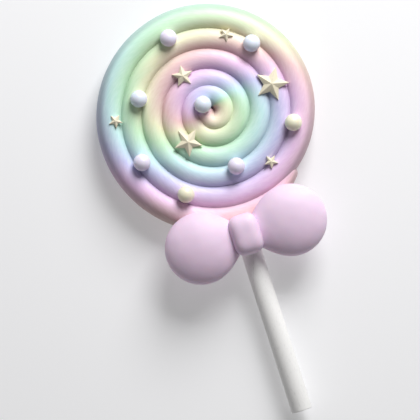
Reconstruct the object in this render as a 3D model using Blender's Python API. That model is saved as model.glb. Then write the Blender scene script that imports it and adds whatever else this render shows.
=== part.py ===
"""Swirl lollipop, lying on its back.

One long candy rope is wound into a flat spiral and sets on a cooling slab, so its back is
slightly flattened. A thick paper stick is pushed into its rim. Sugar pearls and faceted sugar
stars sit on the shown face, and a moulded sugar bow hides the place where the stick goes in.
Metres, +Z up: the shown face looks up and the stick runs along -Y.
"""

import math

import bmesh
import bpy
from mathutils import Matrix, Vector

# ---- Driving dimensions, in metres, degrees and turns ----
CLEARANCE = 0.0003  # gap kept between pieces that touch

ROPE_PITCH = 0.0092  # how far the spiral grows with each turn
ROPE_HALF_WIDTH = 0.0067
ROPE_HALF_HEIGHT = 0.0084  # the turns squeeze each other, so the rope is taller than wide
SLAB_FLAT = 0.0007  # depth that the cooling slab takes off the back
SPIRAL_START_ANGLE = 198.0  # direction, from +X, in which the spiral leaves its pole
SPIRAL_POLE_X = 0.0016  # the pole is a little to the right of the stick's axis
FIRST_TURN = -0.12
LAST_TURN = 5.31
STATIONS_PER_TURN = 36
ROPE_SIDES = 12

CURL_SPREAD = 0.0030  # the innermost curl can't bend tighter, so it stands off the pole
CURL_CLOSE_TURN = 0.60  # from here the curl eases back to the even spiral
CURL_END_TURN = 1.05
CURL_HALF_WIDTH = 0.0044  # at the inner tip; it swells to the full width by CURL_END_TURN
CURL_LIFT = 0.0005  # the curl stands this proud of the other turns
CORE_RADIUS = 0.0042  # the first bend squeezes the candy inside it into a solid core
CORE_HALF_HEIGHT = 0.0073
CORE_PLACE = Vector((-0.0005, 0.0010, 0.0))

TAIL_TURN = 5.13  # from here the outer end thins and tucks in
TAIL_TUCK = 0.0053
TAIL_THINNING = 0.0027
TAIL_LOWERING = 0.0040
TIP_LENGTH = 0.0030  # each end of the rope is rounded over this length
TIP_PARTS = (0.04, 0.2, 0.5, 1.0)  # where the rounding has a section, in tip lengths

STICK_RADIUS = 0.00475
STICK_END_Y = -0.1408  # measured from the spiral's pole
STICK_DEPTH_Y = -0.0240
STICK_EDGE = 0.0004
STICK_SIDES = 32

PEARL_RADIUS = 0.0039
PEARL_RISE = 0.0015  # pearls' centres above the candy's top
STAR_RISE = 0.0005  # stars' points above the candy's top
STAR_WAIST = 0.46  # inner corners' distance from the centre, in star radii
STAR_PEAK = 0.27  # height of the middle, in star radii
STAR_ROOT = 0.0027  # the underside reaches down into the grooves by this much

BOW_Y = -0.0570
BOW_RISE = 0.0004  # the loops' rims above the candy's top
LOOP_CENTRE_X = 0.0212
LOOP_RADIUS = 0.01635
LOOP_HALF_HEIGHT = 0.0080
LOOP_PINCH = 0.5  # the loop's width is halved where it reaches the bow's middle
LOOP_PINCH_POWER = 2.2
KNOT_SIZE = Vector((0.0139, 0.0187, 0.0180))
KNOT_SQUARENESS = 3.4  # 2 would be a ball, and a large number a box
KNOT_CUTS = 5

CANDY_MIDDLE = ROPE_HALF_HEIGHT - SLAB_FLAT
CANDY_TOP = CANDY_MIDDLE + ROPE_HALF_HEIGHT

# Each topping: name, colour, distance from the pole, direction in degrees.
PEARLS = (
    ("pearl_lilac_upper", "lilac", 0.0385, 102.0),
    ("pearl_ice_upper", "ice", 0.0361, 41.8),
    ("pearl_ice_left", "ice", 0.0330, 151.7),
    ("pearl_ice_centre", "ice", 0.0051, 117.7),
    ("pearl_cream_right", "cream", 0.0374, 335.4),
    ("pearl_lilac_left", "lilac", 0.0383, 198.4),
    ("pearl_lilac_lower", "lilac", 0.0267, 277.7),
    ("pearl_cream_lower", "cream", 0.0385, 235.5),
)

# Each star: name, radius, distance from the pole, its direction and that of one of its points.
STARS = (
    ("star_small_upper", 0.0033, 0.0358, 61.4, 42.0),
    ("star_middle", 0.0050, 0.0207, 110.0, 12.0),
    ("star_big_right", 0.0080, 0.0303, 7.5, 58.5),
    ("star_small_left", 0.0033, 0.0430, 167.5, 42.0),
    ("star_large_lower", 0.0067, 0.0168, 215.0, 41.5),
    ("star_small_lower", 0.0033, 0.0350, 303.2, 42.0),
)

# Name: base colour (linear), roughness.
FINISHES = {
    "candy": ((0.86, 0.72, 0.84), 0.35),
    "paper": ((0.85, 0.84, 0.84), 0.70),
    "bow": ((0.78, 0.55, 0.74), 0.50),
    "lilac": ((0.68, 0.60, 0.78), 0.35),
    "ice": ((0.64, 0.70, 0.82), 0.35),
    "cream": ((0.80, 0.75, 0.55), 0.35),
    "star": ((0.80, 0.74, 0.58), 0.50),
}


# ---- Helpers ----
def clear_scene():
    for obj in list(bpy.data.objects):
        bpy.data.objects.remove(obj, do_unlink=True)


def make_collection(name):
    collection = bpy.data.collections.new(name)
    bpy.context.scene.collection.children.link(collection)
    return collection


def make_finish(name):
    colour, roughness = FINISHES[name]
    material = bpy.data.materials.new(name)
    material.use_nodes = True
    shader = material.node_tree.nodes["Principled BSDF"]
    shader.inputs["Base Color"].default_value = (*colour, 1.0)
    shader.inputs["Roughness"].default_value = roughness
    return material


def make_object(name, bm, collection, parent, smooth_below=None):
    """Turn a bmesh into an object; edges flatter than smooth_below degrees shade smooth."""
    bmesh.ops.recalc_face_normals(bm, faces=bm.faces)
    mesh = bpy.data.meshes.new(name)
    bm.to_mesh(mesh)
    bm.free()
    if smooth_below:
        mesh.shade_smooth()
        mesh.set_sharp_from_angle(angle=math.radians(smooth_below))
    obj = bpy.data.objects.new(name, mesh)
    obj.parent = parent
    collection.objects.link(obj)
    return obj


def cut(obj, cutter, crosses_itself=False):
    """Take the cutter's shape out of obj; turns of rope that cross each other become one body."""
    modifier = obj.modifiers.new("cut_" + cutter.name, "BOOLEAN")
    modifier.operation = "DIFFERENCE"
    modifier.solver = "EXACT"
    modifier.use_self = crosses_itself
    modifier.object = cutter


def hide_as_cutter(obj):
    obj.hide_render = True
    obj.display_type = "WIRE"


def ease(value, start, end):
    """0 before start, 1 after end, with a smooth rise between them."""
    x = min(max((value - start) / (end - start), 0.0), 1.0)
    return x * x * (3.0 - 2.0 * x)


def from_pole(distance, direction, height):
    angle = math.radians(direction)
    return Vector((distance * math.cos(angle), distance * math.sin(angle), height))


# ---- The candy rope ----
def tail_progress(turn):
    """0 along the rope, rising to 1 at its outer end, slowly at first."""
    return max(0.0, (turn - TAIL_TURN) / (LAST_TURN - TAIL_TURN)) ** 2


def curl_lift(turn):
    return CURL_LIFT * (1.0 - ease(turn, CURL_CLOSE_TURN, CURL_END_TURN))


def rope_radius(turn):
    """Distance of the rope's middle line from the spiral's pole."""
    spread = CURL_SPREAD * (1.0 - ease(turn, CURL_CLOSE_TURN, CURL_END_TURN))
    return ROPE_PITCH * turn + spread - TAIL_TUCK * tail_progress(turn)


def rope_point(turn):
    height = CANDY_MIDDLE + curl_lift(turn) / 2.0 - TAIL_LOWERING * tail_progress(turn) / 2.0
    return from_pole(rope_radius(turn), SPIRAL_START_ANGLE + 360.0 * turn, height)


def rope_course(turn):
    """How the middle line moves on at this turn, in metres a turn."""
    step = 0.002
    return (rope_point(turn + step) - rope_point(turn - step)) / (2.0 * step)


def rope_half_size(turn):
    """Half width and half height of the rope, with its rounded tips."""
    grown = ease(turn, FIRST_TURN, CURL_END_TURN)
    half_width = CURL_HALF_WIDTH + (ROPE_HALF_WIDTH - CURL_HALF_WIDTH) * grown
    half_width -= TAIL_THINNING * tail_progress(turn)
    half_height = ROPE_HALF_HEIGHT + curl_lift(turn) / 2.0 - TAIL_LOWERING * tail_progress(turn) / 2.0
    to_start = (turn - FIRST_TURN) * rope_course(FIRST_TURN).length
    to_end = (LAST_TURN - turn) * rope_course(LAST_TURN).length
    short = 1.0 - min(1.0, to_start / TIP_LENGTH, to_end / TIP_LENGTH)
    roundness = math.sqrt(1.0 - short * short)
    return half_width * roundness, half_height * roundness


def rope_section(turn, grow):
    """Matrix that puts a unit circle round the rope's middle line at this turn."""
    along = rope_course(turn).normalized()
    outward = along.cross(Vector((0.0, 0.0, 1.0))).normalized()
    up = outward.cross(along)
    half_width, half_height = rope_half_size(turn)
    axes = Matrix((outward * (half_width + grow), up * (half_height + grow), along))
    return Matrix.Translation(rope_point(turn)) @ axes.transposed().to_4x4()


def rope_stops():
    """Turns at which the rope has a section: even ones, and closer ones at the rounded tips."""
    start_length = TIP_LENGTH / rope_course(FIRST_TURN).length
    end_length = TIP_LENGTH / rope_course(LAST_TURN).length
    first = [FIRST_TURN + start_length * part for part in TIP_PARTS]
    last = [LAST_TURN - end_length * part for part in reversed(TIP_PARTS)]
    gap = 1.0 / STATIONS_PER_TURN
    count = round((last[0] - first[-1]) / gap)
    even = [first[-1] + (last[0] - first[-1]) * i / count for i in range(1, count)]
    return first + even + last


def add_core(bm, grow):
    """The solid middle, which the cut with the slab joins to the rope."""
    radius = CORE_RADIUS + grow
    size = Matrix.Diagonal((radius, radius, CORE_HALF_HEIGHT + grow, 1.0))
    place = Matrix.Translation(CORE_PLACE + Vector((0.0, 0.0, CANDY_MIDDLE)))
    bmesh.ops.create_uvsphere(bm, u_segments=16, v_segments=10, radius=1.0, matrix=place @ size)


def sweep_rope(name, grow, collection, parent):
    """Carry one ring along the spiral, extruding it from section to section."""
    stops = rope_stops()
    section = rope_section(stops[0], grow)
    bm = bmesh.new()
    bmesh.ops.create_circle(bm, segments=ROPE_SIDES, radius=1.0, matrix=section)
    ring = list(bm.edges)
    for turn in stops[1:]:
        following = rope_section(turn, grow)
        made = bmesh.ops.extrude_edge_only(bm, edges=ring)["geom"]
        verts = [item for item in made if isinstance(item, bmesh.types.BMVert)]
        ring = [item for item in made if isinstance(item, bmesh.types.BMEdge)]
        bmesh.ops.transform(bm, matrix=following @ section.inverted(), verts=verts)
        section = following
    bmesh.ops.holes_fill(bm, edges=bm.edges, sides=ROPE_SIDES)
    add_core(bm, grow)
    return make_object(name, bm, collection, parent, smooth_below=35.0)


# ---- Cutters ----
def make_slab(collection, parent):
    bm = bmesh.new()
    bmesh.ops.create_cube(bm, size=1.0)
    depth = 0.01
    bmesh.ops.scale(bm, vec=Vector((0.2, 0.2, depth)), verts=bm.verts)
    bmesh.ops.translate(bm, vec=Vector((0.0, 0.0, -depth / 2.0)), verts=bm.verts)
    slab = make_object("cooling_slab", bm, collection, parent)
    hide_as_cutter(slab)
    return slab


def make_rod(name, radius, top_y, bottom_y, collection, parent, edge=0.0):
    """A rod along the stick's axis, at the candy's middle height."""
    bm = bmesh.new()
    turn = Matrix.Rotation(math.radians(90.0), 4, "X")
    place = Matrix.Translation((-SPIRAL_POLE_X, (top_y + bottom_y) / 2.0, CANDY_MIDDLE))
    bmesh.ops.create_cone(
        bm,
        cap_ends=True,
        segments=STICK_SIDES,
        radius1=radius,
        radius2=radius,
        depth=top_y - bottom_y,
        matrix=place @ turn,
    )
    if edge:
        rims = [e for e in bm.edges if any(len(f.verts) == STICK_SIDES for f in e.link_faces)]
        bmesh.ops.bevel(bm, geom=rims, offset=edge, segments=2, profile=0.5, affect="EDGES")
    return make_object(name, bm, collection, parent, smooth_below=35.0)


# ---- Toppings ----
def make_pearl(name, distance, direction, collection, parent):
    bm = bmesh.new()
    bmesh.ops.create_uvsphere(bm, u_segments=14, v_segments=9, radius=PEARL_RADIUS)
    pearl = make_object(name, bm, collection, parent, smooth_below=35.0)
    pearl.location = from_pole(distance, direction, CANDY_TOP + PEARL_RISE)
    return pearl


def make_star(name, radius, distance, direction, point_angle, collection, parent):
    """A ten-cornered pyramid with every other corner drawn in, mirrored to close its underside."""
    bm = bmesh.new()
    bmesh.ops.create_circle(bm, cap_ends=True, cap_tris=True, segments=10, radius=radius)
    rim = [v for v in bm.verts if v.co.length > radius / 2.0]
    rim.sort(key=lambda v: math.atan2(v.co.y, v.co.x))
    bmesh.ops.scale(bm, vec=Vector((STAR_WAIST, STAR_WAIST, 1.0)), verts=rim[1::2])
    first_point = math.degrees(math.atan2(rim[0].co.y, rim[0].co.x))
    middle = min(bm.verts, key=lambda v: v.co.length)
    middle.co.z = STAR_PEAK * radius
    bmesh.ops.mirror(bm, geom=bm.faces[:] + bm.edges[:] + bm.verts[:], axis="Z", merge_dist=0.00001)
    root = min(bm.verts, key=lambda v: v.co.z)
    root.co.z = -STAR_ROOT
    star = make_object(name, bm, collection, parent)
    star.rotation_euler.z = math.radians(point_angle - first_point)
    star.location = from_pole(distance, direction, CANDY_TOP + STAR_RISE)
    return star


# ---- The bow ----
def make_loop(name, side, collection, parent):
    """A puffed loop: a flattened ball whose half towards the knot is drawn out and pinched."""
    bm = bmesh.new()
    bmesh.ops.create_uvsphere(bm, u_segments=28, v_segments=16, radius=1.0)
    for vert in bm.verts:
        inward = max(0.0, -vert.co.x)
        pinch = 1.0 - LOOP_PINCH * inward**LOOP_PINCH_POWER
        reach = LOOP_CENTRE_X if inward else LOOP_RADIUS
        vert.co.x = side * (LOOP_CENTRE_X + vert.co.x * reach)
        vert.co.y *= LOOP_RADIUS * pinch
        vert.co.z *= LOOP_HALF_HEIGHT * pinch
    loop = make_object(name, bm, collection, parent, smooth_below=50.0)
    loop.location = Vector((-SPIRAL_POLE_X, BOW_Y, CANDY_TOP + BOW_RISE))
    return loop


def make_knot(name, grow, collection, parent):
    """A block with full corners and gently bulging sides: a ball with squared-off powers."""
    bm = bmesh.new()
    bmesh.ops.create_cube(bm, size=2.0)
    bmesh.ops.subdivide_edges(bm, edges=bm.edges[:], cuts=KNOT_CUTS, use_grid_fill=True)
    for vert in bm.verts:
        powers = sum(abs(part) ** KNOT_SQUARENESS for part in vert.co)
        vert.co /= powers ** (1.0 / KNOT_SQUARENESS)
        vert.co *= KNOT_SIZE / 2.0 + Vector((grow, grow, grow))
    knot = make_object(name, bm, collection, parent, smooth_below=50.0)
    knot.location = Vector((-SPIRAL_POLE_X, BOW_Y, CANDY_TOP + BOW_RISE))
    return knot


def centre_on_box(frame, parts):
    """Move the frame so that the box round all parts is centred on X and Y."""
    bpy.context.view_layer.update()
    graph = bpy.context.evaluated_depsgraph_get()
    corners = []
    for obj in parts:
        solid = obj.evaluated_get(graph)
        corners += [obj.matrix_world @ Vector(corner) for corner in solid.bound_box]
    for axis in (0, 1):
        values = [corner[axis] for corner in corners]
        frame.location[axis] = -(min(values) + max(values)) / 2.0


def main():
    clear_scene()
    parts = make_collection("swirl_lollipop")
    cutters = make_collection("cutters")
    frame = bpy.data.objects.new("spiral_pole", None)
    parts.objects.link(frame)

    slab = make_slab(cutters, frame)
    room_for_rope = sweep_rope("room_for_rope", CLEARANCE, cutters, frame)
    bore_top = STICK_DEPTH_Y + CLEARANCE
    bore = make_rod("bore", STICK_RADIUS + CLEARANCE, bore_top, STICK_END_Y, cutters, frame)
    room_for_knot = make_knot("room_for_knot", CLEARANCE, cutters, frame)
    for cutter in (room_for_rope, bore, room_for_knot):
        hide_as_cutter(cutter)
    cut(room_for_rope, slab, crosses_itself=True)

    made = {}
    made["candy_swirl"] = sweep_rope("candy_swirl", 0.0, parts, frame)
    cut(made["candy_swirl"], slab, crosses_itself=True)
    cut(made["candy_swirl"], bore)
    made["stick"] = make_rod("stick", STICK_RADIUS, STICK_DEPTH_Y, STICK_END_Y, parts, frame, STICK_EDGE)
    made["bow_loop_left"] = make_loop("bow_loop_left", -1.0, parts, frame)
    made["bow_loop_right"] = make_loop("bow_loop_right", 1.0, parts, frame)
    made["bow_knot"] = make_knot("bow_knot", 0.0, parts, frame)
    for name in ("bow_loop_left", "bow_loop_right"):
        cut(made[name], room_for_knot)
        cut(made[name], room_for_rope)
    cut(made["bow_knot"], room_for_rope)
    cut(made["bow_knot"], bore)
    for name, colour, distance, direction in PEARLS:
        made[name] = make_pearl(name, distance, direction, parts, frame)
        cut(made[name], room_for_rope)
    for name, radius, distance, direction, point_angle in STARS:
        made[name] = make_star(name, radius, distance, direction, point_angle, parts, frame)
        cut(made[name], room_for_rope)

    finish_of = {"candy_swirl": "candy", "stick": "paper"}
    finish_of.update({name: "bow" for name in made if name.startswith("bow_")})
    finish_of.update({name: colour for name, colour, distance, direction in PEARLS})
    finish_of.update({star[0]: "star" for star in STARS})
    finishes = {name: make_finish(name) for name in FINISHES}
    for name, obj in made.items():
        obj.data.materials.append(finishes[finish_of[name]])
    centre_on_box(frame, made.values())


main()
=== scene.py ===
"""Swirl lollipop: a pastel candy rope wound flat on a paper stick, with sugar toppings and a bow.

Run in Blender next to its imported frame. Each piece is one operator, and the sizes and colours
that one would change are properties of the scene.
"""

import math

import bmesh
import bpy
from mathutils import Matrix, Vector, noise


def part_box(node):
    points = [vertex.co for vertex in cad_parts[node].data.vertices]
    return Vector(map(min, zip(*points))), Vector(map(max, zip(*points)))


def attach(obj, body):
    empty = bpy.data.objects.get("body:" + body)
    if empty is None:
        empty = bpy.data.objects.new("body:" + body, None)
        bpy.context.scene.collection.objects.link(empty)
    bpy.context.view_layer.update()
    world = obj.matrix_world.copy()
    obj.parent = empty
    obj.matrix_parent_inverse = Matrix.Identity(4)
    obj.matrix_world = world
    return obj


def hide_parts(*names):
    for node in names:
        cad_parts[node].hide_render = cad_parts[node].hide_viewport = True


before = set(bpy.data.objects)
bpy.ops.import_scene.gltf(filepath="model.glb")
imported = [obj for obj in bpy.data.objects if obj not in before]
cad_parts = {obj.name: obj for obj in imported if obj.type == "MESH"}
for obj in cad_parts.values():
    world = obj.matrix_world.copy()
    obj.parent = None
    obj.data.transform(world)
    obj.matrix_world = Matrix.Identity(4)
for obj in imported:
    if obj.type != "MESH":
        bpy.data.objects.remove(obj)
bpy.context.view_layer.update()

bl_info = {
    "name": "Swirl Lollipop",
    "version": (1, 0, 0),
    "blender": (4, 5, 0),
    "location": "3D View > Sidebar > Lollipop",
    "description": "Builds a swirl lollipop with sugar pearls, stars and a bow",
    "category": "Add Mesh",
}

MM = 0.001
STICK_LOW, STICK_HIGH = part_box("stick")
CANDY_LOW, CANDY_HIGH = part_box("candy_swirl")
STICK_AXIS_X = (STICK_LOW.x + STICK_HIGH.x) / 2.0
STICK_AXIS_Z = (STICK_LOW.z + STICK_HIGH.z) / 2.0
POLE = Vector((STICK_AXIS_X + 1.6 * MM, STICK_LOW.y + 140.8 * MM, 0.0))  # middle of the spiral
BOW_MIDDLE = Vector((STICK_AXIS_X, POLE.y - 57.0 * MM, 16.5 * MM))


# ---- Small helpers ----
def linear(code):
    """A linear RGB colour from an sRGB hex value."""
    values = [int(code[i : i + 2], 16) / 255.0 for i in (0, 2, 4)]
    return tuple(v / 12.92 if v <= 0.04045 else ((v + 0.055) / 1.055) ** 2.4 for v in values)


def ease(value, start, end):
    """0 before start, 1 after end, with a smooth rise between them."""
    x = min(max((value - start) / (end - start), 0.0), 1.0)
    return x * x * (3.0 - 2.0 * x)


def add_node(material, kind, settings=None, inputs=None):
    """Add a node, set its properties, and set or link its inputs."""
    tree = material.node_tree
    node = tree.nodes.new(kind)
    for name, value in (settings or {}).items():
        setattr(node, name, value)
    for name, value in (inputs or {}).items():
        if isinstance(value, bpy.types.NodeSocket):
            tree.links.new(value, node.inputs[name])
        else:
            node.inputs[name].default_value = value
    return node


def new_material(name, **constants):
    """A material with an empty Principled shader; the constants are set on its own sockets."""
    material = bpy.data.materials.new(name)
    material.use_nodes = True
    shader = material.node_tree.nodes["Principled BSDF"]
    for socket, value in constants.items():
        shader.inputs[socket.replace("_", " ")].default_value = value
    return material, shader


def link(material, socket, shader, name):
    """Lead a socket into one of the shader's inputs."""
    material.node_tree.links.new(socket, shader.inputs[name])


def make_piece(name, bm, material, sharp_above=None):
    """Turn a bmesh, already in place, into an object at the origin."""
    bmesh.ops.recalc_face_normals(bm, faces=bm.faces)
    mesh = bpy.data.meshes.new(name)
    bm.to_mesh(mesh)
    bm.free()
    mesh.shade_smooth()
    if sharp_above:
        mesh.set_sharp_from_angle(angle=math.radians(sharp_above))
    if material:
        mesh.materials.append(material)
    piece = bpy.data.objects.new(name, mesh)
    bpy.context.scene.collection.objects.link(piece)
    return piece


def cut(piece, cutters):
    """Take the cutters out of the piece, keep the result as its mesh, and delete the cutters."""
    for cutter in cutters:
        modifier = piece.modifiers.new(cutter.name, "BOOLEAN")
        modifier.operation = "DIFFERENCE"
        modifier.solver = "EXACT"
        modifier.use_self = True
        modifier.object = cutter
    bpy.context.view_layer.update()
    graph = bpy.context.evaluated_depsgraph_get()
    result = bpy.data.meshes.new_from_object(piece.evaluated_get(graph))
    piece.modifiers.clear()
    old = piece.data
    piece.data = result
    bpy.data.meshes.remove(old)
    for cutter in cutters:
        bpy.data.objects.remove(cutter, do_unlink=True)


def settle(piece, slot, *nodes):
    """Hang the piece on the frame's root and hide the frame's parts that it stands for."""
    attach(piece, "root")
    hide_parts(*nodes)


def node_names(prefix):
    return sorted(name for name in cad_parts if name.startswith(prefix))


# ---- Sizes and colours that a user would change ----
def length_property(name, text, millimetres):
    return bpy.props.FloatProperty(
        name=name, description=text, default=millimetres * MM, unit="LENGTH", min=0.0, precision=5
    )


def colour_property(name, text, code):
    return bpy.props.FloatVectorProperty(
        name=name, description=text, default=linear(code), subtype="COLOR", size=3, min=0.0, max=1.0
    )


class LollipopRope(bpy.types.PropertyGroup):
    pitch: length_property("Pitch", "How far the spiral grows with each turn", 9.2)
    half_width: length_property("Half width", "Half the rope's width", 6.7)
    half_height: length_property("Half height", "Half the rope's height", 8.4)
    unevenness: length_property("Unevenness", "How much the hand-rolled rope swells and thins", 0.16)
    start_angle: bpy.props.FloatProperty(
        name="Start angle",
        description="Direction in which the spiral leaves its middle",
        default=math.radians(198.0),
        subtype="ANGLE",
    )
    stations: bpy.props.IntProperty(
        name="Stations", description="Sections of the rope in each turn", default=150, min=24
    )
    sides: bpy.props.IntProperty(
        name="Sides", description="Corners of the rope's section", default=44, min=8
    )
    saturation: bpy.props.FloatProperty(
        name="Saturation", description="Depth of the pastel colours", default=0.15, min=0.0, max=1.0
    )


class LollipopStick(bpy.types.PropertyGroup):
    radius: length_property("Radius", "Radius of the rolled paper stick", 4.75)
    edge: length_property("Edge", "Rounding of the cut ends", 0.35)
    layer: length_property("Layer", "Thickness of a roll of paper, seen at the cut end", 0.6)
    colour: colour_property("Colour", "White paper", "FCFBF9")


class LollipopBow(bpy.types.PropertyGroup):
    loop_centre: length_property("Loop centre", "From the stick's axis to the middle of a loop", 21.2)
    loop_radius: length_property("Loop radius", "Radius of a loop, seen from the front", 16.35)
    loop_half_height: length_property("Loop half height", "Half the thickness of a loop", 8.0)
    knot_width: length_property("Knot width", "Width of the knot", 13.9)
    knot_length: length_property("Knot length", "Length of the knot along the stick", 18.7)
    knot_height: length_property("Knot height", "Thickness of the knot", 18.0)
    colour: colour_property("Colour", "Pink-lilac sugar paste", "F0D6EE")


class LollipopToppings(bpy.types.PropertyGroup):
    pearl_radius: length_property("Pearl radius", "Radius of a sugar pearl", 3.9)
    star_edge: length_property("Star edge", "Softening of the pressed stars' edges", 0.10)
    star_rim: length_property("Star rim", "Height of a star's upright rim", 1.3)
    lilac: colour_property("Lilac", "Lilac sugar pearls", "F1EAFF")
    ice: colour_property("Ice blue", "Ice-blue sugar pearls", "E9F1FF")
    cream: colour_property("Cream", "Cream sugar pearls", "FAF5DA")
    star: colour_property("Star", "Cream pressed sugar", "F4EBD0")


class LollipopStage(bpy.types.PropertyGroup):
    floor: colour_property("Floor", "Plain pale floor", "DADADC")
    camera_height: length_property("Camera height", "Height of the camera above the floor", 1300.0)
    view_width: length_property("View width", "Width of what the camera sees", 189.0)
    key: bpy.props.FloatProperty(
        name="Key light", description="Strength of the main light", default=11.2, unit="POWER"
    )
    fill: bpy.props.FloatProperty(
        name="Fill light", description="Strength of the opposite light", default=0.3, unit="POWER"
    )


GROUPS = (
    ("lollipop_rope", LollipopRope),
    ("lollipop_stick", LollipopStick),
    ("lollipop_bow", LollipopBow),
    ("lollipop_toppings", LollipopToppings),
    ("lollipop_stage", LollipopStage),
)


# ---- The candy rope ----
FIRST_TURN = -0.22
LAST_TURN = 5.31
TIP_LENGTH = 3.0 * MM  # the rounded ends of the rope
SLAB_FLAT = 0.7 * MM  # what the cooling slab takes off the back
SLOW_SWELLS = 7.0  # to a turn, where the hands pressed
QUICK_SWELLS = 19.0  # to a turn, between the fingers
CURL_JOIN = 0.26  # before this turn the rope follows its own bend, after it the spiral
CURL_TIP = Vector((-3.2 * MM, 3.4 * MM, 0.0))  # the inner tip, under the central pearl
CURL_TIP_PULL = Vector((0.3 * MM, -6.4 * MM, 0.0))  # which way it leaves the tip, and how straight
CURL_JOIN_PULL = 3.1 * MM  # how straight it runs into the spiral
CURL_HALF_WIDTH = 4.8 * MM  # at the inner tip, where the rope is pulled thinner
LOOSE_UNTIL = 0.60  # up to this turn the spiral is a little wide and raised
EVEN_FROM = 1.05  # from this turn on it is even
LOOSE_SPREAD = 3.0 * MM
LOOSE_LIFT = 0.5 * MM
TAIL_START = 5.13  # from this turn on the rope tapers and bends inwards to its outer end
TAIL_INWARDS = 5.3 * MM
TAIL_NARROWER = 2.7 * MM
TAIL_LOWER = 4.0 * MM


class Rope:
    """The rope's middle line and its section at any turn, from the sizes in the scene."""

    def __init__(self, sizes):
        self.pitch = sizes.pitch
        self.half_width = sizes.half_width
        self.half_height = sizes.half_height
        self.unevenness = sizes.unevenness
        self.start_angle = sizes.start_angle
        self.middle = self.half_height - SLAB_FLAT
        ahead = self.spiral(CURL_JOIN + 0.001) - self.spiral(CURL_JOIN - 0.001)
        self.join = self.spiral(CURL_JOIN)
        self.join_pull = self.join - ahead.normalized() * CURL_JOIN_PULL

    def tail(self, turn):
        """0 along the rope, rising to 1 at its outer end, slowly at first."""
        return max(0.0, (turn - TAIL_START) / (LAST_TURN - TAIL_START)) ** 2

    def lift(self, turn):
        """How much higher the rope's top is than on the even turns."""
        return LOOSE_LIFT * (1.0 - ease(turn, LOOSE_UNTIL, EVEN_FROM))

    def spiral(self, turn):
        """Where the spiral is at this turn, from the pole and flat."""
        spread = LOOSE_SPREAD * (1.0 - ease(turn, LOOSE_UNTIL, EVEN_FROM))
        radius = self.pitch * turn + spread - TAIL_INWARDS * self.tail(turn)
        angle = self.start_angle + math.tau * turn
        return Vector((radius * math.cos(angle), radius * math.sin(angle), 0.0))

    def point(self, turn):
        """The rope's middle line: a curl of its own at the centre, and the spiral after it."""
        if turn < CURL_JOIN:
            part = (turn - FIRST_TURN) / (CURL_JOIN - FIRST_TURN)
            rest = 1.0 - part
            place = rest**3 * CURL_TIP + 3.0 * rest * rest * part * (CURL_TIP + CURL_TIP_PULL)
            place += 3.0 * rest * part * part * self.join_pull + part**3 * self.join
        else:
            place = self.spiral(turn)
        height = self.middle + self.lift(turn) / 2.0 - TAIL_LOWER * self.tail(turn) / 2.0
        return POLE + Vector((place.x, place.y, height))

    def course(self, turn):
        """Which way the middle line runs, as metres to a turn."""
        step = 0.002
        return (self.point(turn + step) - self.point(turn - step)) / (2.0 * step)

    def half_size(self, turn):
        """Half the rope's width and height, down to nothing at its rounded tips."""
        swell = noise.noise(Vector((turn * SLOW_SWELLS, 0.0, 0.0)))
        swell += 0.6 * noise.noise(Vector((turn * QUICK_SWELLS, 5.0, 0.0)))
        fuller = self.half_width - CURL_HALF_WIDTH
        width = CURL_HALF_WIDTH + fuller * ease(turn, FIRST_TURN, EVEN_FROM)
        width += self.unevenness * swell - TAIL_NARROWER * self.tail(turn)
        height = self.half_height + self.lift(turn) / 2.0 - TAIL_LOWER * self.tail(turn) / 2.0
        to_start = (self.point(turn) - self.point(FIRST_TURN)).length if turn < 0.0 else TIP_LENGTH
        to_end = (LAST_TURN - turn) * self.course(LAST_TURN).length
        short = 1.0 - min(1.0, to_start / TIP_LENGTH, to_end / TIP_LENGTH)
        roundness = math.sqrt(max(0.0, 1.0 - short * short))
        return width * roundness, height * roundness

    def section(self, turn, grow=0.0):
        """Matrix that puts a unit circle round the rope's middle line at this turn."""
        along = self.course(turn).normalized()
        outward = along.cross(Vector((0.0, 0.0, 1.0))).normalized()
        up = outward.cross(along)
        half_width, half_height = self.half_size(turn)
        axes = Matrix((outward * (half_width + grow), up * (half_height + grow), along))
        return Matrix.Translation(self.point(turn)) @ axes.transposed().to_4x4()

    def stops(self, stations, first=FIRST_TURN):
        """Turns with a section: even ones, and closer ones where the tips are rounded."""
        tips = (0.01, 0.05, 0.12, 0.22, 0.36, 0.52, 0.72, 1.0)
        end_length = TIP_LENGTH / self.course(LAST_TURN).length
        last = [LAST_TURN - end_length * part for part in reversed(tips)]
        start = [first]
        if first == FIRST_TURN:
            start_length = TIP_LENGTH / self.course(FIRST_TURN + 0.01).length
            start = [first + start_length * part for part in tips]
        count = round((last[0] - start[-1]) * stations)
        even = [start[-1] + (last[0] - start[-1]) * i / count for i in range(1, count)]
        return start + even + last


SAME_PLACE = 0.0001 * MM


def sweep_rope(rope, stations, sides, grow=0.0, first=FIRST_TURN):
    """Wrap a flat grid round the rope. Its UV map has metres along the rope, and turns round it."""
    stops = rope.stops(stations, first)
    steps = len(stops) - 1
    sections = [rope.section(turn, grow) for turn in stops]
    along = [0.0]
    for before, after in zip(stops, stops[1:]):
        along.append(along[-1] + (rope.point(after) - rope.point(before)).length)
    circle = [math.tau * i / sides for i in range(sides + 1)]
    bm = bmesh.new()
    uv_layer = bm.loops.layers.uv.new("rope")
    bmesh.ops.create_grid(bm, x_segments=steps, y_segments=sides, size=0.5, calc_uvs=True)
    for face in bm.faces:
        for loop in face.loops:
            uv = loop[uv_layer].uv
            uv.x = along[round(uv.x * steps)]
    for vert in bm.verts:
        section = sections[round((vert.co.x + 0.5) * steps)]
        angle = circle[round((vert.co.y + 0.5) * sides)]
        vert.co = section @ Vector((math.cos(angle), math.sin(angle), 0.0))
        vert.co.z = max(vert.co.z, 0.0)
    seam = [vert for vert in bm.verts if vert.is_boundary]
    bmesh.ops.remove_doubles(bm, verts=seam, dist=SAME_PLACE)
    bmesh.ops.holes_fill(bm, edges=[edge for edge in bm.edges if edge.is_boundary], sides=sides)
    return bm


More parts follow.
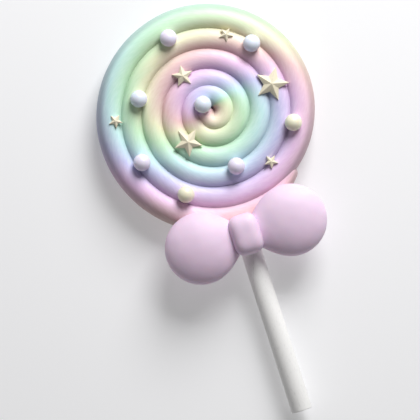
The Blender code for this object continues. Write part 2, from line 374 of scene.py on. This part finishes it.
DYE_MIDDLE = Vector((1.6 * MM, 2.5 * MM, 0.0))  # from the spiral's pole
DYE_DIRECTION = math.radians(17.3)  # the side on which the dye changes fast, from +X
DYE_SWING = 3.1  # how much faster it changes there than across the plateaus
DYE_START = 0.22  # hue at the middle, as a share of the colour wheel
DYE_PITCH = 50.5 * MM  # the hue goes once round the wheel over this distance outwards


def pulled_candy(saturation):
    """Pulled sugar candy, kneaded with air until it is opaque and satiny, then rolled into a rope.

    The eye sees soft pastel bands that run into each other, fine lines along the rope from the
    pulling, and a broad waxy gloss; painted shade darkens the rope's sides down into the grooves.
    """
    material, shader = new_material(
        "pulled_sugar_candy",
        IOR=1.5,
        Specular_IOR_Level=0.25,
        Subsurface_Weight=0.04,
        Subsurface_Radius=(1.0, 0.8, 0.8),
        Subsurface_Scale=1.5 * MM,
        Coat_Weight=0.05,
        Coat_Roughness=0.25,
    )
    place = add_node(material, "ShaderNodeTexCoord").outputs["Object"]
    rope_map = add_node(material, "ShaderNodeUVMap", {"uv_map": "rope"}).outputs["UV"]

    # Lines left by the pulling: noise drawn out along the rope, and twisted round it.
    on_rope = add_node(material, "ShaderNodeSeparateXYZ", inputs={"Vector": rope_map})
    twist = {0: on_rope.outputs["X"], 1: math.tau / 0.160, 2: 0.0}  # a full twist in 160 mm
    twisted = add_node(material, "ShaderNodeMath", {"operation": "MULTIPLY_ADD"}, twist).outputs[0]
    round_and_twist = {0: on_rope.outputs["Y"], 1: math.tau, 2: twisted}
    angle = add_node(
        material, "ShaderNodeMath", {"operation": "MULTIPLY_ADD"}, round_and_twist
    ).outputs[0]
    cosine = add_node(material, "ShaderNodeMath", {"operation": "COSINE"}, {0: angle}).outputs[0]
    sine = add_node(material, "ShaderNodeMath", {"operation": "SINE"}, {0: angle}).outputs[0]
    drawn_out = {0: on_rope.outputs["X"], 1: 1.0 / 0.030}  # lines about 30 mm long
    along = add_node(material, "ShaderNodeMath", {"operation": "MULTIPLY"}, drawn_out).outputs[0]
    strand = add_node(
        material, "ShaderNodeCombineXYZ", inputs={"X": along, "Y": cosine, "Z": sine}
    ).outputs[0]
    fine = add_node(
        material,
        "ShaderNodeTexNoise",
        inputs={"Vector": strand, "Scale": 9.0, "Detail": 2.0, "Roughness": 0.5},
    ).outputs["Fac"]
    broad = add_node(
        material, "ShaderNodeTexNoise", inputs={"Vector": strand, "Scale": 1.6, "Detail": 1.0}
    ).outputs["Fac"]

    # The dye: hue runs outwards through the rainbow, and changes fast on two sides of the disc.
    centred = add_node(
        material, "ShaderNodeVectorMath", {"operation": "SUBTRACT"}, {0: place, 1: POLE + DYE_MIDDLE}
    ).outputs[0]
    flat = add_node(
        material, "ShaderNodeVectorMath", {"operation": "MULTIPLY"}, {0: centred, 1: (1.0, 1.0, 0.0)}
    ).outputs[0]
    radius = add_node(material, "ShaderNodeVectorMath", {"operation": "LENGTH"}, {0: flat})
    turned = add_node(
        material,
        "ShaderNodeVectorRotate",
        {"rotation_type": "Z_AXIS"},
        {"Vector": flat, "Angle": -DYE_DIRECTION},
    ).outputs[0]
    disc = add_node(material, "ShaderNodeSeparateXYZ", inputs={"Vector": turned})
    stretched = add_node(
        material, "ShaderNodeMath", {"operation": "MULTIPLY"}, {0: disc.outputs["Y"], 1: DYE_SWING}
    ).outputs[0]
    round_disc = add_node(
        material, "ShaderNodeMath", {"operation": "ARCTAN2"}, {0: stretched, 1: disc.outputs["X"]}
    ).outputs[0]
    shares = {0: round_disc, 1: 1.0 / math.tau, 2: DYE_START}
    from_angle = add_node(material, "ShaderNodeMath", {"operation": "MULTIPLY_ADD"}, shares).outputs[0]
    outwards = {0: radius.outputs["Value"], 1: 1.0 / DYE_PITCH, 2: from_angle}
    hue = add_node(material, "ShaderNodeMath", {"operation": "MULTIPLY_ADD"}, outwards).outputs[0]
    wander = {0: broad, 1: 0.07, 2: hue}
    hue = add_node(material, "ShaderNodeMath", {"operation": "MULTIPLY_ADD"}, wander).outputs[0]
    hue = add_node(material, "ShaderNodeMath", {"operation": "FRACT"}, {0: hue}).outputs[0]
    depth = add_node(
        material,
        "ShaderNodeMapRange",
        inputs={
            "Value": fine,
            "From Min": 0.3,
            "From Max": 0.7,
            "To Min": saturation - 0.012,
            "To Max": saturation + 0.012,
        },
    ).outputs[0]
    whiteness = add_node(
        material,
        "ShaderNodeMapRange",
        inputs={"Value": fine, "From Min": 0.3, "From Max": 0.7, "To Min": 0.965, "To Max": 0.94},
    ).outputs[0]

    # Painted shade: the rope's sides, down into the grooves between the turns, are made darker in
    # colour.
    round_rope = add_node(
        material, "ShaderNodeMath", {"operation": "MULTIPLY"}, {0: on_rope.outputs["Y"], 1: math.tau}
    ).outputs[0]
    across = add_node(material, "ShaderNodeMath", {"operation": "COSINE"}, {0: round_rope}).outputs[0]
    flank = add_node(material, "ShaderNodeMath", {"operation": "ABSOLUTE"}, {0: across}).outputs[0]
    painted_groove_shade = add_node(
        material,
        "ShaderNodeMapRange",
        {"interpolation_type": "SMOOTHSTEP"},
        {"Value": flank, "From Min": 0.4, "From Max": 0.8, "To Min": 1.0, "To Max": 0.84},
    ).outputs[0]
    value = add_node(
        material, "ShaderNodeMath", {"operation": "MULTIPLY"}, {0: whiteness, 1: painted_groove_shade}
    ).outputs[0]
    screen = add_node(
        material,
        "ShaderNodeCombineColor",
        {"mode": "HSV"},
        {"Red": hue, "Green": depth, "Blue": value},
    ).outputs[0]
    colour = add_node(material, "ShaderNodeGamma", inputs={"Color": screen, "Gamma": 2.2}).outputs[0]
    link(material, colour, shader, "Base Color")

    gloss = add_node(
        material,
        "ShaderNodeMapRange",
        inputs={"Value": fine, "From Min": 0.3, "From Max": 0.7, "To Min": 0.38, "To Max": 0.52},
    ).outputs[0]
    link(material, gloss, shader, "Roughness")
    relief = add_node(
        material, "ShaderNodeBump", inputs={"Strength": 0.3, "Distance": 0.05 * MM, "Height": fine}
    ).outputs[0]
    link(material, relief, shader, "Normal")
    return material


# Room left in the candy round the stick and round the toppings.
STICK_GAP = 0.15 * MM
STICK_END_GAP = 0.2 * MM
TOPPING_GAP = 0.03 * MM
SLIVER = 0.0005 * MM  # faces thinner than this are taken out


def mend(piece):
    """Where the tightest bend folds into itself, put one small face in place of each tangle."""
    bm = bmesh.new()
    bm.from_mesh(piece.data)
    tangled = {vert for edge in bm.edges if len(edge.link_faces) > 2 for vert in edge.verts}
    near = [face for face in bm.faces if not tangled.isdisjoint(face.verts)]
    bmesh.ops.delete(bm, geom=near, context="FACES")
    bmesh.ops.holes_fill(bm, edges=[edge for edge in bm.edges if edge.is_boundary])
    bmesh.ops.dissolve_degenerate(bm, edges=bm.edges[:], dist=SLIVER)
    bm.to_mesh(piece.data)
    bm.free()


def room_for_toppings():
    """What the stick and the pressed-in toppings take out of the candy."""
    stick = bpy.context.scene.lollipop_stick
    toppings = bpy.context.scene.lollipop_toppings
    bm = bmesh.new()
    add_rod(bm, stick.radius + STICK_GAP, STICK_HIGH.y + STICK_END_GAP, STICK_LOW.y, 64)
    for name in node_names("pearl_"):
        add_pearl(bm, name, toppings.pearl_radius + TOPPING_GAP)
    for name in node_names("star_"):
        add_star(bm, name, toppings, TOPPING_GAP)
    return make_piece("room_for_toppings", bm, None)


class LOLLIPOP_OT_rope(bpy.types.Operator):
    """Add the candy rope, wound flat and fused, with dents where the toppings are pressed in"""

    bl_idname = "lollipop.add_rope"
    bl_label = "Candy rope"

    def execute(self, context):
        sizes = context.scene.lollipop_rope
        rope = Rope(sizes)
        bm = sweep_rope(rope, sizes.stations, sizes.sides)
        piece = make_piece("swirl_rope", bm, pulled_candy(sizes.saturation))
        cut(piece, [room_for_toppings()])
        mend(piece)
        piece.data.set_sharp_from_angle(angle=math.radians(38.0))
        settle(piece, "candy", "candy_swirl")
        return {"FINISHED"}


# ---- The stick ----
STICK_SIDES = 96
LAYER_GROOVE = 0.08 * MM  # half the width of the line between two layers of paper


def add_rod(bm, radius, top_y, bottom_y, sides):
    """A rod on the stick's axis."""
    turn = Matrix.Rotation(math.radians(90.0), 4, "X")
    place = Matrix.Translation((STICK_AXIS_X, (top_y + bottom_y) / 2.0, STICK_AXIS_Z))
    return bmesh.ops.create_cone(
        bm,
        cap_ends=True,
        segments=sides,
        radius1=radius,
        radius2=radius,
        depth=top_y - bottom_y,
        matrix=place @ turn,
    )["verts"]


def rolled_paper(colour):
    """White paper, rolled tightly with glue into a rod.

    The eye sees a matt, slightly fibrous white, with the edge of the sheet as a faint line that
    winds round the rod and grey lines between the layers at its cut end.
    """
    material, shader = new_material("rolled_white_paper", IOR=1.45, Roughness=0.72)
    place = add_node(material, "ShaderNodeTexCoord").outputs["Object"]
    stretched = add_node(
        material, "ShaderNodeMapping", inputs={"Vector": place, "Scale": (1.0, 0.25, 1.0)}
    ).outputs[0]
    fibres = add_node(
        material,
        "ShaderNodeTexNoise",
        inputs={"Vector": stretched, "Scale": 1.0 / (0.5 * MM), "Detail": 2.0, "Roughness": 0.6},
    ).outputs["Fac"]

    # The sheet's edge winds once round the rod in 90 mm, and stands a paper's thickness proud.
    axis = Vector((STICK_AXIS_X, 0.0, STICK_AXIS_Z))
    centred = add_node(
        material, "ShaderNodeVectorMath", {"operation": "SUBTRACT"}, {0: place, 1: axis}
    ).outputs[0]
    parts = add_node(material, "ShaderNodeSeparateXYZ", inputs={"Vector": centred})
    angle = add_node(
        material,
        "ShaderNodeMath",
        {"operation": "ARCTAN2"},
        {0: parts.outputs["Z"], 1: parts.outputs["X"]},
    ).outputs[0]
    turns = add_node(
        material, "ShaderNodeMath", {"operation": "DIVIDE"}, {0: angle, 1: math.tau}
    ).outputs[0]
    winding = add_node(
        material,
        "ShaderNodeMath",
        {"operation": "MULTIPLY_ADD"},
        {0: parts.outputs["Y"], 1: 1.0 / 0.090, 2: turns},
    ).outputs[0]
    lap = add_node(material, "ShaderNodeMath", {"operation": "FRACT"}, {0: winding}).outputs[0]
    seam = add_node(
        material,
        "ShaderNodeMapRange",
        inputs={"Value": lap, "From Min": 0.985, "From Max": 1.0, "To Min": 0.0, "To Max": 0.35},
    ).outputs[0]
    worn = add_node(
        material, "ShaderNodeMath", {"operation": "SUBTRACT"}, {0: fibres, 1: seam}
    ).outputs[0]
    tone = add_node(material, "ShaderNodeValToRGB", inputs={"Fac": worn})
    tone.color_ramp.elements[0].position = 0.0
    tone.color_ramp.elements[0].color = (*[part * 0.75 for part in colour], 1.0)
    tone.color_ramp.elements[1].position = 0.45
    tone.color_ramp.elements[1].color = (*colour, 1.0)
    link(material, tone.outputs["Color"], shader, "Base Color")
    step = add_node(
        material, "ShaderNodeBump", inputs={"Strength": 0.6, "Distance": 0.1 * MM, "Height": lap}
    ).outputs[0]
    relief = add_node(
        material,
        "ShaderNodeBump",
        inputs={"Strength": 0.3, "Distance": 0.05 * MM, "Height": fibres, "Normal": step},
    ).outputs[0]
    link(material, relief, shader, "Normal")
    return material


class LOLLIPOP_OT_stick(bpy.types.Operator):
    """Add the rolled paper stick, with the layers of paper showing at its cut ends"""

    bl_idname = "lollipop.add_stick"
    bl_label = "Paper stick"

    def execute(self, context):
        sizes = context.scene.lollipop_stick
        bm = bmesh.new()
        add_rod(bm, sizes.radius, STICK_HIGH.y, STICK_LOW.y, STICK_SIDES)
        ends = [face for face in bm.faces if len(face.verts) == STICK_SIDES]
        rims = [edge for face in ends for edge in face.edges]
        bmesh.ops.bevel(
            bm, geom=rims, offset=sizes.edge, segments=4, profile=0.5, affect="EDGES", material=-1
        )
        ends = [face for face in bm.faces if len(face.verts) == STICK_SIDES]
        flat = sizes.layer - 2.0 * LAYER_GROOVE
        deep = 1.5 * LAYER_GROOVE
        for _ in range(int((sizes.radius - sizes.edge) / sizes.layer) - 1):
            for thickness, depth in ((flat, 0.0), (LAYER_GROOVE, -deep), (LAYER_GROOVE, deep)):
                bmesh.ops.inset_region(
                    bm, faces=ends, thickness=thickness, depth=depth, use_even_offset=True
                )
        piece = make_piece("paper_stick", bm, rolled_paper(sizes.colour), sharp_above=40.0)
        settle(piece, "paper", "stick")
        return {"FINISHED"}


# ---- Sugar pearls ----
SOLID_PEARL_RADIUS = 3.9 * MM


def add_pearl(bm, name, radius):
    """A ball round the solid pearl's middle. The solid's top is whole, its underside is cut away."""
    low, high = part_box(name)
    top = Vector(((low.x + high.x) / 2.0, (low.y + high.y) / 2.0, high.z))
    place = Matrix.Translation(top - Vector((0.0, 0.0, SOLID_PEARL_RADIUS)))
    bmesh.ops.create_uvsphere(bm, u_segments=40, v_segments=24, radius=radius, matrix=place)


def sugar_pearl(name, colour):
    """A sugar pearl: a sugar ball with a coat of pearl dust.

    The eye sees a nearly smooth ball with a soft sheen and a broad highlight.
    """
    material, shader = new_material(
        "sugar_pearl_" + name,
        Roughness=0.42,
        IOR=1.5,
        Sheen_Weight=0.25,
        Sheen_Roughness=0.4,
        Coat_Weight=0.25,
        Coat_Roughness=0.2,
        Subsurface_Weight=0.1,
        Subsurface_Scale=1.0 * MM,
    )
    place = add_node(material, "ShaderNodeTexCoord").outputs["Object"]
    dust = add_node(
        material,
        "ShaderNodeTexNoise",
        inputs={"Vector": place, "Scale": 1.0 / (0.9 * MM), "Detail": 2.0},
    ).outputs["Fac"]
    tone = add_node(material, "ShaderNodeValToRGB", inputs={"Fac": dust})
    tone.color_ramp.elements[0].position = 0.3
    tone.color_ramp.elements[0].color = (*[part * 0.96 for part in colour], 1.0)
    tone.color_ramp.elements[1].position = 0.7
    tone.color_ramp.elements[1].color = (*colour, 1.0)
    link(material, tone.outputs["Color"], shader, "Base Color")
    relief = add_node(
        material, "ShaderNodeBump", inputs={"Strength": 0.2, "Distance": 0.05 * MM, "Height": dust}
    ).outputs[0]
    link(material, relief, shader, "Normal")
    return material


class LOLLIPOP_OT_pearls(bpy.types.Operator):
    """Add the sugar pearls, pressed a little into the candy"""

    bl_idname = "lollipop.add_pearls"
    bl_label = "Sugar pearls"

    def execute(self, context):
        sizes = context.scene.lollipop_toppings
        coats = {name: sugar_pearl(name, getattr(sizes, name)) for name in ("lilac", "ice", "cream")}
        for name in node_names("pearl_"):
            coat = name.split("_")[1]
            bm = bmesh.new()
            add_pearl(bm, name, sizes.pearl_radius)
            piece = make_piece("sugar_" + name, bm, coats[coat])
            settle(piece, coat, name)
        return {"FINISHED"}


# ---- Pressed sugar stars ----
STAR_WAIST = 0.46  # inner corners' distance from the middle, in star radii


def add_star(bm, name, sizes, grow=0.0):
    """A five-pointed pyramid on an upright rim, where and as large as the solid star is."""
    corners = [vert.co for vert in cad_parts[name].data.vertices]
    peak = max(corners, key=lambda co: co.z)
    point = max(corners, key=lambda co: (co - peak).xy.length)
    radius = (point - peak).xy.length + grow
    direction = math.atan2(point.y - peak.y, point.x - peak.x)
    rim_z = point.z
    made = bmesh.ops.create_circle(
        bm, cap_ends=True, cap_tris=True, segments=10, radius=radius
    )["verts"]
    rim = sorted(
        (vert for vert in made if vert.co.length > radius / 2.0),
        key=lambda vert: math.atan2(vert.co.y, vert.co.x),
    )
    bmesh.ops.scale(bm, vec=Vector((STAR_WAIST, STAR_WAIST, 1.0)), verts=rim[1::2])
    first = math.atan2(rim[0].co.y, rim[0].co.x)
    middle = min(made, key=lambda vert: vert.co.length)
    middle.co.z = peak.z - rim_z + grow
    edges = [edge for edge in bm.edges if edge.is_boundary]
    walls = bmesh.ops.extrude_edge_only(bm, edges=edges)["geom"]
    foot = [item for item in walls if isinstance(item, bmesh.types.BMVert)]
    bmesh.ops.translate(bm, vec=Vector((0.0, 0.0, -sizes.star_rim - grow)), verts=foot)
    bmesh.ops.contextual_create(
        bm, geom=[item for item in walls if isinstance(item, bmesh.types.BMEdge)]
    )
    place = Matrix.Translation((peak.x, peak.y, rim_z)) @ Matrix.Rotation(direction - first, 4, "Z")
    bmesh.ops.transform(bm, matrix=place, verts=made + foot)


def pressed_sugar(colour):
    """Sugar and starch, pressed dry in a mould and dusted with pearl colour.

    The eye sees a chalky cream with fine grain and a faint sheen.
    """
    material, shader = new_material(
        "pressed_sugar", Roughness=0.55, IOR=1.5, Sheen_Weight=0.15, Sheen_Roughness=0.5
    )
    place = add_node(material, "ShaderNodeTexCoord").outputs["Object"]
    grain = add_node(
        material,
        "ShaderNodeTexNoise",
        inputs={"Vector": place, "Scale": 1.0 / (0.5 * MM), "Detail": 2.0},
    ).outputs["Fac"]
    tone = add_node(material, "ShaderNodeValToRGB", inputs={"Fac": grain})
    tone.color_ramp.elements[0].position = 0.3
    tone.color_ramp.elements[0].color = (*[part * 0.90 for part in colour], 1.0)
    tone.color_ramp.elements[1].position = 0.7
    tone.color_ramp.elements[1].color = (*colour, 1.0)
    link(material, tone.outputs["Color"], shader, "Base Color")
    relief = add_node(
        material, "ShaderNodeBump", inputs={"Strength": 0.35, "Distance": 0.06 * MM, "Height": grain}
    ).outputs[0]
    link(material, relief, shader, "Normal")
    return material


class LOLLIPOP_OT_stars(bpy.types.Operator):
    """Add the pressed sugar stars"""

    bl_idname = "lollipop.add_stars"
    bl_label = "Sugar stars"

    def execute(self, context):
        sizes = context.scene.lollipop_toppings
        sugar = pressed_sugar(sizes.star)
        for name in node_names("star_"):
            bm = bmesh.new()
            add_star(bm, name, sizes)
            bmesh.ops.recalc_face_normals(bm, faces=bm.faces)
            bmesh.ops.bevel(
                bm,
                geom=bm.edges[:],
                offset=sizes.star_edge,
                segments=3,
                profile=0.5,
                affect="EDGES",
                material=-1,
            )
            piece = make_piece("sugar_" + name, bm, sugar, sharp_above=25.0)
            settle(piece, "star", name)
        return {"FINISHED"}


# ---- The bow ----
KNOT_SQUARENESS = 3.4  # 2 would be a ball
LOOP_PINCH = 0.5  # how much of its width and thickness a loop loses at the knot
LOOP_PINCH_POWER = 2.2  # how late it loses them
BOW_GAP = 0.05 * MM
UNDER_BOW_FROM = 3.6  # the bow touches only the turns after this one


def sugar_paste(colour):
    """Sugar paste, kneaded smooth, moulded by hand and left to dry.

    The eye sees a soft matt sheen, faint unevenness from the fingers and very fine grain.
    """
    material, shader = new_material(
        "moulded_sugar_paste",
        IOR=1.48,
        Subsurface_Weight=0.12,
        Subsurface_Scale=1.5 * MM,
        Sheen_Weight=0.1,
        Sheen_Roughness=0.5,
    )
    place = add_node(material, "ShaderNodeTexCoord").outputs["Object"]
    grain = add_node(
        material,
        "ShaderNodeTexNoise",
        inputs={"Vector": place, "Scale": 1.0 / (0.6 * MM), "Detail": 3.0},
    ).outputs["Fac"]
    fingers = add_node(
        material,
        "ShaderNodeTexNoise",
        inputs={"Vector": place, "Scale": 1.0 / (9.0 * MM), "Detail": 1.0},
    ).outputs["Fac"]
    tone = add_node(material, "ShaderNodeValToRGB", inputs={"Fac": fingers})
    tone.color_ramp.elements[0].position = 0.3
    tone.color_ramp.elements[0].color = (*[part * 0.95 for part in colour], 1.0)
    tone.color_ramp.elements[1].position = 0.7
    tone.color_ramp.elements[1].color = (*colour, 1.0)
    link(material, tone.outputs["Color"], shader, "Base Color")
    gloss = add_node(
        material,
        "ShaderNodeMapRange",
        inputs={"Value": fingers, "From Min": 0.3, "From Max": 0.7, "To Min": 0.48, "To Max": 0.60},
    ).outputs[0]
    link(material, gloss, shader, "Roughness")
    soft = add_node(
        material, "ShaderNodeBump", inputs={"Strength": 0.5, "Distance": 0.5 * MM, "Height": fingers}
    ).outputs[0]
    relief = add_node(
        material,
        "ShaderNodeBump",
        inputs={"Strength": 0.15, "Distance": 0.05 * MM, "Height": grain, "Normal": soft},
    ).outputs[0]
    link(material, relief, shader, "Normal")
    return material


def add_knot(bm, sizes, grow=0.0):
    """A block with full corners and gently bulging sides: a ball with squared-off powers."""
    half = Vector((sizes.knot_width, sizes.knot_length, sizes.knot_height)) / 2.0
    half += Vector((grow, grow, grow))
    bmesh.ops.create_cube(bm, size=2.0)
    bmesh.ops.subdivide_edges(bm, edges=bm.edges[:], cuts=19, use_grid_fill=True)
    for vert in bm.verts:
        powers = sum(abs(part) ** KNOT_SQUARENESS for part in vert.co)
        vert.co = vert.co / powers ** (1.0 / KNOT_SQUARENESS) * half + BOW_MIDDLE


def add_loop(bm, sizes, side):
    """A puffed loop: a flattened ball whose half towards the knot is drawn out and pinched."""
    made = bmesh.ops.create_uvsphere(bm, u_segments=96, v_segments=56, radius=1.0)["verts"]
    for vert in made:
        inward = max(0.0, -vert.co.x)
        pinch = 1.0 - LOOP_PINCH * inward**LOOP_PINCH_POWER
        reach = sizes.loop_centre if inward else sizes.loop_radius
        vert.co.x = side * (sizes.loop_centre + vert.co.x * reach)
        vert.co.y *= sizes.loop_radius * pinch
        vert.co.z *= sizes.loop_half_height * pinch
        vert.co += BOW_MIDDLE


class LOLLIPOP_OT_bow(bpy.types.Operator):
    """Add the moulded sugar bow, whose underside takes the shape of the candy and the stick"""

    bl_idname = "lollipop.add_bow"
    bl_label = "Sugar bow"

    def execute(self, context):
        sizes = context.scene.lollipop_bow
        rope = Rope(context.scene.lollipop_rope)
        paste = sugar_paste(sizes.colour)
        pieces = []
        for name, side in (("bow_loop_left", -1.0), ("bow_loop_right", 1.0)):
            bm = bmesh.new()
            add_loop(bm, sizes, side)
            pieces.append(make_piece("sugar_" + name, bm, paste))
        bm = bmesh.new()
        add_knot(bm, sizes)
        pieces.append(make_piece("sugar_bow_knot", bm, paste))
        for piece in pieces:
            outer = sweep_rope(rope, 60, 24, grow=BOW_GAP, first=UNDER_BOW_FROM)
            cutters = [make_piece("room_for_rope", outer, None)]
            bm = bmesh.new()
            if piece.name == "sugar_bow_knot":
                radius = context.scene.lollipop_stick.radius + BOW_GAP
                add_rod(bm, radius, STICK_HIGH.y, STICK_LOW.y, 48)
            else:
                add_knot(bm, sizes, grow=BOW_GAP)
            cutters.append(make_piece("room_for_neighbour", bm, None))
            cut(piece, cutters)
            piece.data.set_sharp_from_angle(angle=math.radians(45.0))
            settle(piece, "bow", piece.name.removeprefix("sugar_"))
        return {"FINISHED"}


# ---- Floor, light and camera ----
FLOOR_HALF = 3.0
FLOOR_GAP = 0.05 * MM
LIGHT_DISTANCE = 0.9
WORLD_STRENGTH = 0.13
VIEW_MIDDLE = Vector((-13.7 * MM, -41.7 * MM, 0.0))  # from the pole
VIEW_TURN = math.radians(-17.7)  # how far the stick leans in the view
SENSOR_WIDTH = 36.0


def studio_floor(colour):
    """Matt white paper sweep: an even pale ground with no gloss."""
    material, shader = new_material(
        "matt_white_sweep", Roughness=0.95, Emission_Color=(1.0, 1.0, 1.0, 1.0), Emission_Strength=0.27
    )
    place = add_node(material, "ShaderNodeTexCoord").outputs["Object"]
    cloud = add_node(
        material, "ShaderNodeTexNoise", inputs={"Vector": place, "Scale": 4.0, "Detail": 1.0}
    ).outputs["Fac"]
    tone = add_node(material, "ShaderNodeValToRGB", inputs={"Fac": cloud})
    tone.color_ramp.elements[0].color = (*[part * 0.985 for part in colour], 1.0)
    tone.color_ramp.elements[1].color = (*colour, 1.0)
    link(material, tone.outputs["Color"], shader, "Base Color")
    return material


def add_area_light(name, azimuth, elevation, size, power):
    """An area light that looks at the candy from the given direction, in degrees."""
    azimuth = math.radians(azimuth)
    elevation = math.radians(elevation)
    light = bpy.data.lights.new(name, "AREA")
    light.energy = power
    light.size = size
    obj = bpy.data.objects.new(name, light)
    bpy.context.scene.collection.objects.link(obj)
    towards = Vector((
        math.cos(azimuth) * math.cos(elevation),
        math.sin(azimuth) * math.cos(elevation),
        math.sin(elevation),
    ))
    obj.location = POLE + towards * LIGHT_DISTANCE
    obj.rotation_euler = towards.to_track_quat("Z", "Y").to_euler()


class LOLLIPOP_OT_stage(bpy.types.Operator):
    """Add the plain floor, the soft studio light and the camera that looks down"""

    bl_idname = "lollipop.add_stage"
    bl_label = "Stage"

    def execute(self, context):
        stage = context.scene.lollipop_stage
        bm = bmesh.new()
        bmesh.ops.create_grid(bm, x_segments=1, y_segments=1, size=FLOOR_HALF)
        bmesh.ops.translate(bm, vec=Vector((0.0, 0.0, -FLOOR_GAP)), verts=bm.verts)
        make_piece("floor", bm, studio_floor(stage.floor))

        add_area_light("key", azimuth=54.0, elevation=36.0, size=0.5, power=stage.key)
        add_area_light("fill", azimuth=234.0, elevation=30.0, size=0.6, power=stage.fill)
        world = bpy.data.worlds.new("studio")
        world.use_nodes = True
        background = world.node_tree.nodes["Background"]
        background.inputs["Color"].default_value = (1.0, 1.0, 1.0, 1.0)
        background.inputs["Strength"].default_value = WORLD_STRENGTH
        context.scene.world = world
        context.scene.view_settings.view_transform = "Standard"

        camera = bpy.data.objects.new("camera", bpy.data.cameras.new("camera"))
        context.scene.collection.objects.link(camera)
        camera.location = POLE + Vector((VIEW_MIDDLE.x, VIEW_MIDDLE.y, stage.camera_height))
        camera.rotation_euler = (0.0, 0.0, VIEW_TURN)
        camera.data.sensor_width = SENSOR_WIDTH
        to_candy = stage.camera_height - CANDY_HIGH.z
        camera.data.lens = SENSOR_WIDTH * to_candy / stage.view_width
        context.scene.camera = camera
        return {"FINISHED"}


# ---- Panel and registration ----
OPERATORS = (
    LOLLIPOP_OT_rope,
    LOLLIPOP_OT_stick,
    LOLLIPOP_OT_bow,
    LOLLIPOP_OT_pearls,
    LOLLIPOP_OT_stars,
    LOLLIPOP_OT_stage,
)


class LOLLIPOP_PT_panel(bpy.types.Panel):
    """The lollipop's sizes, colours and steps"""

    bl_idname = "LOLLIPOP_PT_panel"
    bl_label = "Swirl lollipop"
    bl_space_type = "VIEW_3D"
    bl_region_type = "UI"
    bl_category = "Lollipop"

    def draw(self, context):
        for name, group in GROUPS:
            box = self.layout.box()
            for key in group.__annotations__:
                box.prop(getattr(context.scene, name), key)
        for operator in OPERATORS:
            self.layout.operator(operator.bl_idname)


def register():
    for name, group in GROUPS:
        bpy.utils.register_class(group)
        setattr(bpy.types.Scene, name, bpy.props.PointerProperty(type=group))
    for operator in OPERATORS:
        bpy.utils.register_class(operator)
    bpy.utils.register_class(LOLLIPOP_PT_panel)


def unregister():
    bpy.utils.unregister_class(LOLLIPOP_PT_panel)
    for operator in reversed(OPERATORS):
        bpy.utils.unregister_class(operator)
    for name, group in reversed(GROUPS):
        delattr(bpy.types.Scene, name)
        bpy.utils.unregister_class(group)


def main():
    register()
    bpy.ops.lollipop.add_rope()
    bpy.ops.lollipop.add_stick()
    bpy.ops.lollipop.add_bow()
    bpy.ops.lollipop.add_pearls()
    bpy.ops.lollipop.add_stars()
    bpy.ops.lollipop.add_stage()


if __name__ == "__main__":
    main()
